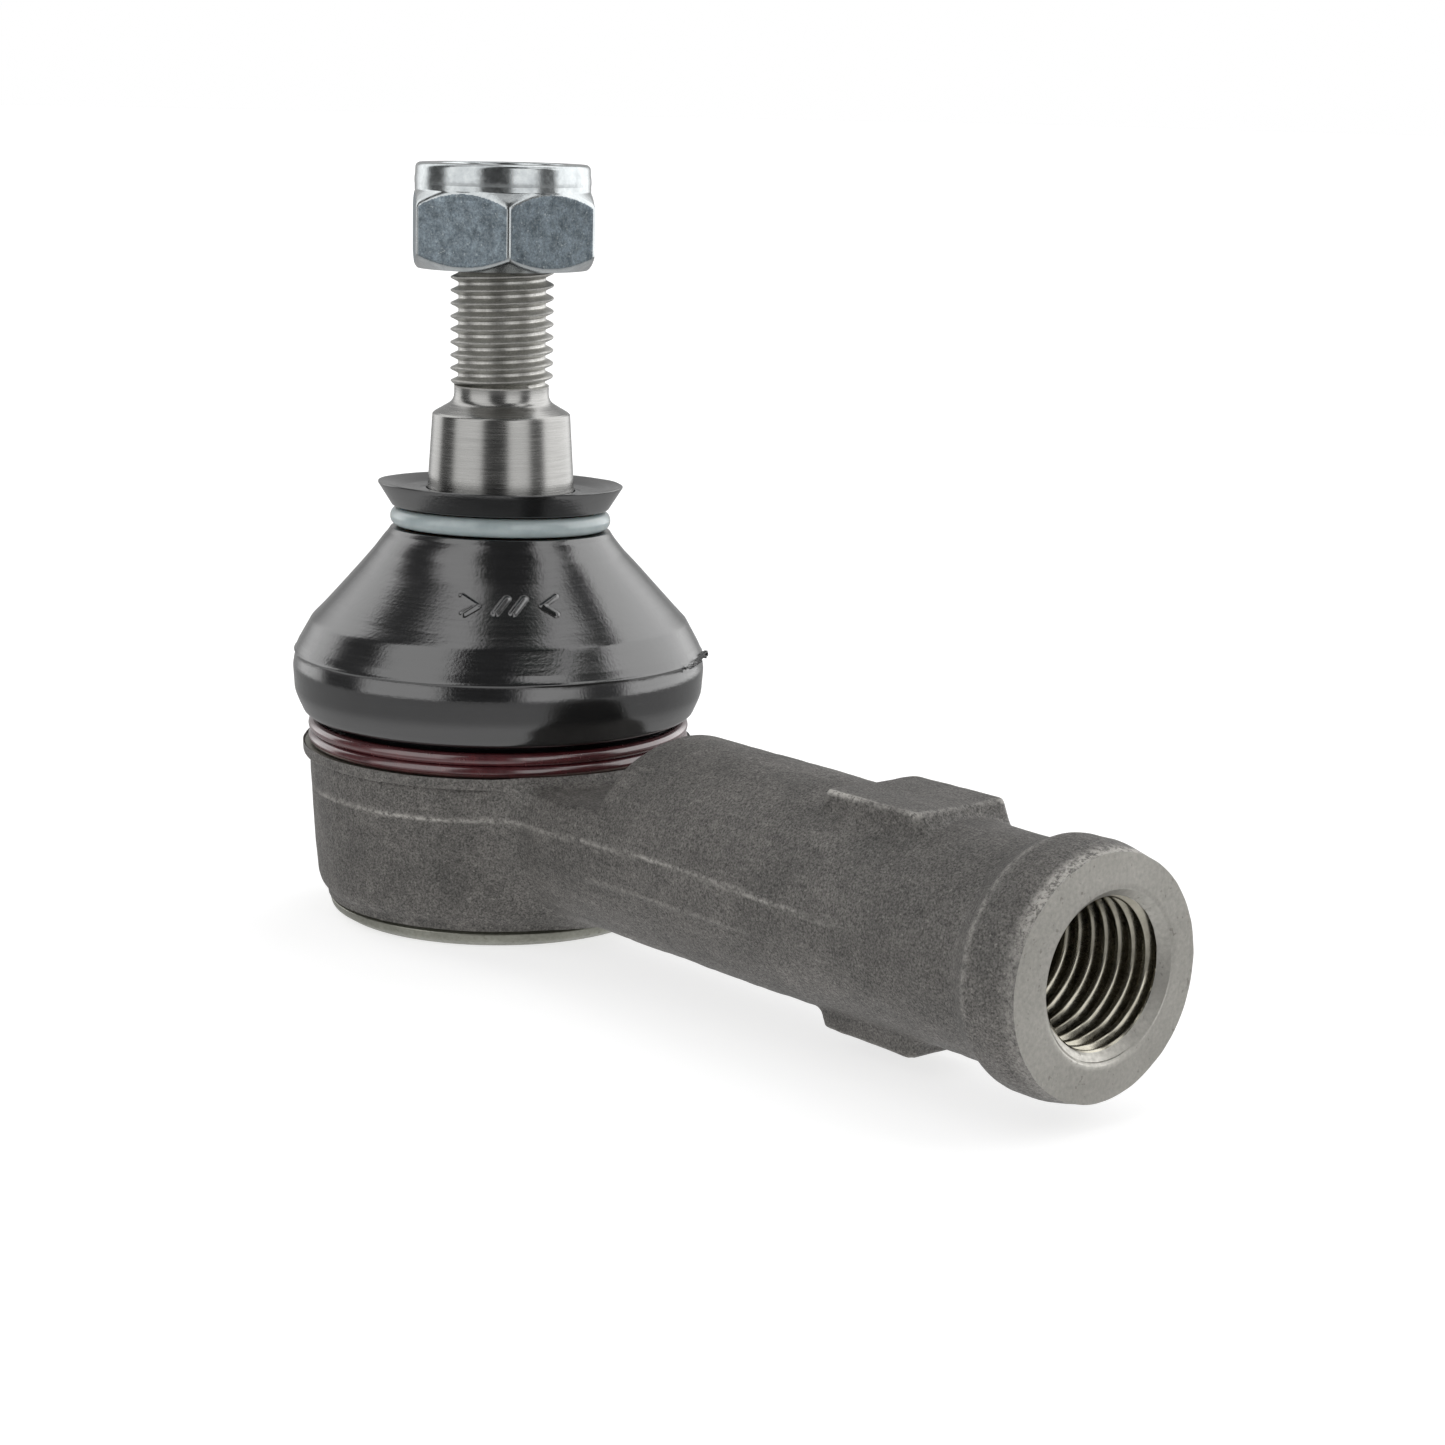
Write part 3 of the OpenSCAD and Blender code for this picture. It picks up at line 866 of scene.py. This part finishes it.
class Tree:
    """A short way to write a node tree."""

    def __init__(self, tree):
        self.tree = tree
        tree.nodes.clear()

    def new(self, kind):
        return self.tree.nodes.new("ShaderNode" + kind)

    def link(self, source, target):
        self.tree.links.new(source, target)

    def put(self, value, socket):
        """Sets a socket to a number or a colour, or links it."""
        if isinstance(value, (int, float)):
            socket.default_value = value
        elif isinstance(value, tuple):
            socket.default_value = value + (1.0,)
        else:
            self.link(value, socket)

    def ramp(self, source, *stops):
        node = self.new("ValToRGB")
        elements = node.color_ramp.elements
        while len(elements) < len(stops):
            elements.new(0.5)
        for element, (position, value) in zip(elements, stops):
            element.position = position
            rgb = value if isinstance(value, tuple) else (value,) * 3
            element.color = rgb + (1.0,)
        self.link(source, node.inputs[0])
        return node.outputs[0]

    def mix(self, factor, a, b, mode="MIX"):
        node = self.new("Mix")
        node.data_type = "RGBA"
        node.blend_type = mode
        self.put(factor, node.inputs[0])
        self.put(a, node.inputs[6])
        self.put(b, node.inputs[7])
        return node.outputs[2]

    def times(self, colour, *factors):
        for factor in factors:
            colour = self.mix(1.0, colour, factor, "MULTIPLY")
        return colour

    def math(self, operation, a, b=0.0):
        node = self.new("Math")
        node.operation = operation
        self.put(a, node.inputs[0])
        self.put(b, node.inputs[1])
        return node.outputs[0]


class Nodes(Tree):
    """A material's node tree, which ends in one Principled shader."""

    def __init__(self, name, **settings):
        self.material = bpy.data.materials.new(name)
        self.material.use_nodes = True
        super().__init__(self.material.node_tree)
        output = self.new("OutputMaterial")
        self.shader = self.new("BsdfPrincipled")
        self.link(self.shader.outputs[0], output.inputs[0])
        self.place = self.new("TexCoord").outputs["Object"]
        for key, value in settings.items():
            self.shader.inputs[key.replace("_", " ")].default_value = value

    def stretched(self, scale):
        node = self.new("Mapping")
        node.inputs["Scale"].default_value = scale
        self.link(self.place, node.inputs["Vector"])
        return node.outputs[0]

    def noise(self, scale, detail, rough, vector=None):
        node = self.new("TexNoise")
        node.inputs["Scale"].default_value = scale
        node.inputs["Detail"].default_value = detail
        node.inputs["Roughness"].default_value = rough
        self.link(vector or self.place, node.inputs["Vector"])
        return node.outputs["Fac"]

    def spread(self, scale, detail, rough, low, high):
        """Noise that runs from one number or colour to another."""
        return self.ramp(self.noise(scale, detail, rough), (0.3, low), (0.7, high))

    def attribute(self, name):
        node = self.new("Attribute")
        node.attribute_name = name
        return node.outputs["Fac"]

    def bump(self, height, strength, distance, normal=None):
        node = self.new("Bump")
        node.inputs["Strength"].default_value = strength
        node.inputs["Distance"].default_value = distance
        self.link(height, node.inputs["Height"])
        if normal is not None:
            self.link(normal, node.inputs["Normal"])
        return node.outputs[0]

    def finish(self, colour, rough=None, normal=None):
        for source, key in ((colour, "Base Color"), (rough, "Roughness"), (normal, "Normal")):
            if source is not None:
                self.link(source, self.shader.inputs[key])
        return self.material


def forged_steel():
    """Shot-blasted forging: dark warm grey, grained, with bright rubbed edges and painted highlights on the
    end rim and the collar's step.
    """
    n = Nodes("forged_skin", Metallic=0.3)
    patches = n.noise(230, 5, 0.62)
    grain = n.noise(5200, 4, 0.7)
    coarse = n.noise(1500, 4, 0.7)
    flow = n.noise(1.0, 4, 0.65, n.stretched((60, 1400, 1400)))
    tone = n.ramp(patches, (0.30, (0.093, 0.089, 0.083)), (0.72, (0.142, 0.134, 0.125)))
    colour = n.times(
        tone, n.ramp(grain, (0.35, 0.36), (0.65, 1.58)), n.ramp(coarse, (0.32, 0.78), (0.68, 1.24)),
        n.ramp(flow, (0.3, 0.88), (0.7, 1.13)), n.spread(70, 3, 0.6, 0.84, 1.14))
    glints = n.ramp(n.noise(3600, 2, 0.5), (0.66, 0.0), (0.74, 1.0))
    colour = n.mix(n.math("MULTIPLY", glints, 0.5), colour, (0.33, 0.315, 0.29))
    # the stored attribute brightens the colour: real edge rubbing, plus painted highlights on the rim's top
    # and the collar's step
    wear_and_highlight_mask = n.math("MULTIPLY", n.attribute("wear_and_highlight"), n.ramp(n.noise(2100, 5, 0.75), (0.40, 0.0), (0.56, 1.0)))
    colour = n.mix(n.math("MULTIPLY", wear_and_highlight_mask, 0.85), colour, (0.58, 0.56, 0.52))
    rough = n.ramp(grain, (0.3, 0.62), (0.7, 0.44))
    normal = n.bump(grain, 0.8, 0.00004, n.bump(coarse, 0.9, 0.00014))
    normal = n.bump(patches, 0.3, 0.00025, normal)
    return n.finish(colour, rough, normal)


def machined_steel(name, dark, light):
    """Cut faces of the forging: lighter, with a fine grain and a few dark pits."""
    n = Nodes(name, Metallic=0.85)
    grain = n.noise(2600, 4, 0.6)
    colour = n.times(n.spread(220, 4, 0.6, dark, light), n.ramp(grain, (0.3, 0.84), (0.7, 1.1)))
    rough = n.ramp(grain, (0.3, 0.46), (0.7, 0.34))
    pits = n.ramp(n.noise(1900, 2, 0.5), (0.28, 1.0), (0.34, 0.0))
    colour = n.mix(n.math("MULTIPLY", pits, 0.5), colour, (0.16, 0.15, 0.13))
    return n.finish(colour, rough, n.bump(grain, 0.6, 0.000016))


def cloudy(name, tone, gloss, relief, **settings):
    """A material with a clouded colour, a clouded roughness and a fine bump. Each of the three is given
    as a noise (scale, detail, rough) with its range, or for the bump its strength and distance."""
    n = Nodes(name, **settings)
    return n.finish(n.spread(*tone), n.spread(*gloss), n.bump(n.noise(*relief[:3]), *relief[3:]))


def tapped_steel():
    """The threads of the bore: smooth, slightly yellow cut steel."""
    return cloudy(
        "tapped_bore", (500, 4, 0.6, (0.33, 0.31, 0.255), (0.52, 0.495, 0.42)),
        (3200, 4, 0.6, 0.26, 0.14), (3200, 4, 0.6, 0.4, 0.000008), Metallic=1.0)


def turned_steel():
    """The stud: bright steel with fine lines left by the lathe."""
    n = Nodes("turned_stud", Metallic=1.0)
    lines = n.noise(1.0, 4, 0.7, n.stretched((300, 300, 11000)))
    wide = n.noise(1.0, 3, 0.6, n.stretched((120, 120, 3800)))
    colour = n.ramp(wide, (0.3, (0.31, 0.308, 0.298)), (0.7, (0.355, 0.352, 0.342)))
    colour = n.times(colour, n.ramp(lines, (0.3, 0.80), (0.7, 1.14)))
    rough = n.ramp(lines, (0.3, 0.18), (0.7, 0.30))
    normal = n.bump(lines, 0.5, 0.000007, n.bump(wide, 0.3, 0.000006))
    return n.finish(colour, rough, normal)


def rolled_thread():
    """The stud's thread: duller than the turned taper, with a fine grain."""
    n = Nodes("rolled_thread", Metallic=1.0)
    grain = n.noise(5200, 4, 0.65)
    colour = n.spread(700, 4, 0.6, (0.44, 0.435, 0.41), (0.58, 0.575, 0.55))
    colour = n.times(colour, n.ramp(grain, (0.3, 0.8), (0.7, 1.15)))
    rough = n.ramp(grain, (0.3, 0.46), (0.7, 0.32))
    return n.finish(colour, rough, n.bump(grain, 0.5, 0.00001))


def zinc_flats():
    """The nut's flats: mottled blue-grey zinc with a fine crystal grain."""
    n = Nodes("zinc_flats", Metallic=0.9)
    mottle = n.noise(4600, 5, 0.75)
    clouds = n.noise(900, 5, 0.7)
    colour = n.ramp(mottle, (0.32, (0.11, 0.140, 0.168)), (0.68, (0.26, 0.305, 0.33)))
    colour = n.times(colour, n.ramp(clouds, (0.34, 0.55), (0.66, 1.3)))
    specks = n.ramp(n.noise(3000, 3, 0.6), (0.62, 0.0), (0.72, 1.0))
    colour = n.mix(n.math("MULTIPLY", specks, 0.6), colour, (0.50, 0.54, 0.55))
    rough = n.ramp(mottle, (0.3, 0.46), (0.7, 0.34))
    normal = n.bump(mottle, 0.6, 0.00002, n.bump(clouds, 0.3, 0.00008))
    return n.finish(colour, rough, normal)


def zinc_bright_and_corner_highlight():
    """The nut's rolled collar and chamfers: smooth and bright. On the rounded corners between the flats the
    brightness is a painted highlight.
    """
    return cloudy(
        "zinc_bright_and_corner_highlight", (900, 5, 0.65, (0.40, 0.425, 0.435), (0.52, 0.545, 0.55)),
        (2200, 4, 0.6, 0.14, 0.26), (1500, 4, 0.6, 0.2, 0.00003), Metallic=1.0)


def rubber():
    """The boot: black rubber with a moulded grain and fine lines round it."""
    n = Nodes("boot_rubber", IOR=2.05)
    lines = n.noise(1.0, 5, 0.7, n.stretched((130, 130, 5200)))
    grain = n.noise(3600, 3, 0.6)
    colour = n.spread(300, 4, 0.6, (0.0040, 0.0042, 0.0046), (0.008, 0.0085, 0.009))
    rough = n.ramp(lines, (0.35, 0.09), (0.65, 0.19))
    scratches = n.noise(1.0, 6, 0.8, n.stretched((70, 70, 2600)))
    pebble = n.bump(grain, 0.7, 0.00002, n.bump(n.noise(1500, 3, 0.6), 0.4, 0.00002))
    normal = n.bump(scratches, 0.5, 0.00001, n.bump(lines, 0.5, 0.000008, pebble))
    return n.finish(colour, rough, normal)


def grey_polymer():
    """The upper ring: pale blue-grey moulded plastic."""
    return cloudy(
        "ring_polymer", (500, 4, 0.6, (0.31, 0.355, 0.36), (0.375, 0.42, 0.425)),
        (1800, 3, 0.6, 0.16, 0.26), (2400, 3, 0.6, 0.15, 0.00005), IOR=1.7, Subsurface_Weight=0.06)


def maroon_wire():
    """The lower ring: spring wire under a dark red coat."""
    return cloudy(
        "maroon_wire", (700, 4, 0.65, (0.050, 0.008, 0.011), (0.095, 0.017, 0.020)),
        (1600, 3, 0.6, 0.14, 0.28), (1100, 3, 0.6, 0.3, 0.00003), IOR=1.8, Coat_Weight=0.7,
        Coat_Roughness=0.1)


def plastic(name, dark, light, roughness):
    """A plain moulded plastic, such as the ball's seat or the nut's insert."""
    return cloudy(
        name, (600, 4, 0.6, dark, light), (1500, 3, 0.6, roughness - 0.06, roughness + 0.06),
        (2500, 3, 0.6, 0.2, 0.00005), Subsurface_Weight=0.1)


def plate_steel(name, dark, light, roughness):
    """Pressed or spring steel of the hidden pieces."""
    return cloudy(
        name, (400, 5, 0.6, dark, light), (1800, 4, 0.6, roughness + 0.08, roughness - 0.05),
        (2200, 4, 0.6, 0.3, 0.00006), Metallic=0.95)


def dress(obj, slot, *materials):
    """Gives obj its materials, keeping which face has which. The slot argument is not used."""
    mesh = obj.data
    which = np.zeros(len(mesh.polygons), np.int32)
    mesh.polygons.foreach_get("material_index", which)
    mesh.materials.clear()
    for material in materials:
        mesh.materials.append(material)
    mesh.polygons.foreach_set("material_index", np.minimum(which, len(materials) - 1))


# ---------------- stage, light and camera

def build_world():
    """White to the camera. In reflections it is a studio, with a dark gap behind the camera and on
    each side two soft boxes with a dark flag between. Low down it is plain grey, paler at the poles."""
    world = bpy.data.worlds.new("studio")
    bpy.context.scene.world = world
    world.use_nodes = True
    n = Tree(world.node_tree)

    def stages(source, *stops):
        return n.ramp(source, *[(angle / 180, value) for angle, value in stops])

    turn = n.new("Mapping")
    turn.vector_type = "POINT"
    turn.inputs["Rotation"].default_value = (0, 0, math.radians(90 - CAMERA_AZIMUTH))
    n.link(n.new("TexCoord").outputs["Generated"], turn.inputs["Vector"])
    split = n.new("SeparateXYZ")
    n.link(turn.outputs[0], split.inputs[0])
    x, y, z = split.outputs
    # both angles are in half turns; side is + on the picture's right, and level is height plus a half
    side = n.math("DIVIDE", n.math("ARCTAN2", y, x), math.pi)
    height = n.math("DIVIDE", n.math("ARCSINE", z), math.pi)
    level = n.math("ADD", height, 0.5)
    upper = stages(level, (0, 0.0), (132, 0.0), (137, 1.0), (180, 1.0))
    lean = n.math("MULTIPLY", n.math("MULTIPLY", n.math("ADD", height, 12 / 180), 0.6), upper)
    right = stages(
        n.math("SUBTRACT", side, lean), (0, 0.05), (9, 0.05), (14, 1.0), (44, 0.95), (50, 0.12),
        (70, 0.12), (77, 1.35), (142, 1.35), (160, 0.30), (180, 0.30))
    left = stages(
        n.math("MULTIPLY", side, -1.0), (0, 0.05), (27, 0.05), (33, 0.95), (79, 0.95), (84, 0.08),
        (112, 0.08), (119, 1.1), (140, 1.1), (156, 0.30), (180, 0.30))
    around = n.mix(n.math("GREATER_THAN", side, 0.0), left, right)
    below = n.ramp(level, (0.0, 1.0), (0.452, 1.0), (0.472, 0.0), (1.0, 0.0))
    wall = n.mix(below, around, (0.28, 0.28, 0.28))
    ends = n.ramp(level, (0.0, 1.0), (0.22, 1.0), (0.40, 0.0), (0.95, 0.0), (0.98, 1.0))
    light = n.new("Background")
    light.inputs["Strength"].default_value = 1.5
    n.link(n.mix(ends, wall, (0.5, 0.5, 0.5)), light.inputs["Color"])
    plain = n.new("Background")
    plain.inputs["Color"].default_value = (1, 1, 1, 1)
    blend = n.new("MixShader")
    n.link(n.new("LightPath").outputs["Is Camera Ray"], blend.inputs[0])
    n.link(light.outputs[0], blend.inputs[1])
    n.link(plain.outputs[0], blend.inputs[2])
    n.link(blend.outputs[0], n.new("OutputWorld").inputs[0])


def build_floor():
    """A wide white floor under the foot of the housing."""
    half = 12000
    z = FOOT_Z - 0.05
    floor = add_object("floor", [(-half, -half, z), (half, -half, z), (half, half, z), (-half, half, z)],
                       [(0, 1, 2, 3)])
    n = Nodes("floor_white", Roughness=0.9, Emission_Color=(1, 1, 1, 1), Emission_Strength=0.68)
    colour = n.spread(6, 3, 0.5, 0.46, 0.50)
    floor.data.materials.append(n.finish(colour))
    floor.visible_glossy = False


def build_camera():
    """The viewpoint: a little above the boot, on the side of the shank's open end."""
    a = math.radians(CAMERA_AZIMUTH)
    distance, height = 293.706, 65.535
    heading = math.radians(CAMERA_AZIMUTH - 4.352)
    pitch = math.radians(11.646)
    roll = math.radians(1.331)
    flat = Vector((-math.sin(heading), math.cos(heading), 0))
    forward = flat * math.cos(pitch) - Vector((0, 0, math.sin(pitch)))
    right = forward.cross(Vector((0, 0, 1))).normalized()
    up = right.cross(forward)
    side = right * math.cos(roll) + up * math.sin(roll)
    top = up * math.cos(roll) - right * math.sin(roll)
    data = bpy.data.cameras.new("camera")
    data.sensor_width = 36
    data.lens = 74.74
    data.clip_start = 0.01
    camera = bpy.data.objects.new("camera", data)
    bpy.context.scene.collection.objects.link(camera)
    place = Vector((distance * math.sin(a), -distance * math.cos(a), height)) * MM
    camera.matrix_world = Matrix.Translation(place) @ Matrix((side, top, -forward)).transposed().to_4x4()
    bpy.context.scene.camera = camera


# ---------------- the whole object

bpy.context.scene.view_settings.view_transform = "Standard"
build_world()
build_floor()
build_camera()

housing = build_housing()
face_steel = machined_steel("cut_face", (0.42, 0.408, 0.376), (0.49, 0.477, 0.441))
turned_foot = machined_steel("turned_foot", (0.25, 0.25, 0.215), (0.34, 0.34, 0.295))
dress(housing, "forged_steel", forged_steel(), turned_foot, tapped_steel(), face_steel)
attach(housing, "housing")
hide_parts("housing")

stud = build_stud()
dress(stud, "turned_steel", turned_steel(), rolled_thread())
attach(stud, "stud")
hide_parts("ball_stud")

nut = build_nut()
dress(nut, "zinc_steel", zinc_flats(), zinc_bright_and_corner_highlight())
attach(nut, "nut")
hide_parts("lock_nut")

insert = build_insert()
dress(insert, "nylon", plastic("nylon_insert", (0.62, 0.62, 0.58), (0.72, 0.72, 0.68), 0.4))
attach(insert, "nut_slider")
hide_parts("nut_insert")

upper_ring = build_upper_ring()
dress(upper_ring, "upper_ring_polymer", grey_polymer())
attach(upper_ring, "boot_top")
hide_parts("boot_upper_ring")

lower_ring = build_lower_ring()
dress(lower_ring, "lower_ring_wire", maroon_wire())
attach(lower_ring, "housing")
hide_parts("boot_lower_ring")

plate = build_plate()
dress(plate, "plate_steel", plate_steel("closing_plate", (0.22, 0.215, 0.20), (0.34, 0.33, 0.31), 0.42))
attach(plate, "housing")
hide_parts("closing_plate")

shell = build_shell()
dress(shell, "acetal", plastic("seat_acetal", (0.60, 0.57, 0.48), (0.70, 0.67, 0.58), 0.38))
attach(shell, "swing_seat")
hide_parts("bearing_shell")

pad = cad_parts["pressure_pad"]
dress(pad, "acetal", plastic("pad_acetal", (0.62, 0.60, 0.53), (0.70, 0.68, 0.60), 0.4))
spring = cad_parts["preload_spring"]
dress(spring, "spring_steel", plate_steel("spring_blue", (0.10, 0.115, 0.14), (0.17, 0.18, 0.20), 0.3))

boot = build_boot()
dress(boot, "boot_rubber", rubber())
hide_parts("dust_boot")
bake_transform(boot)
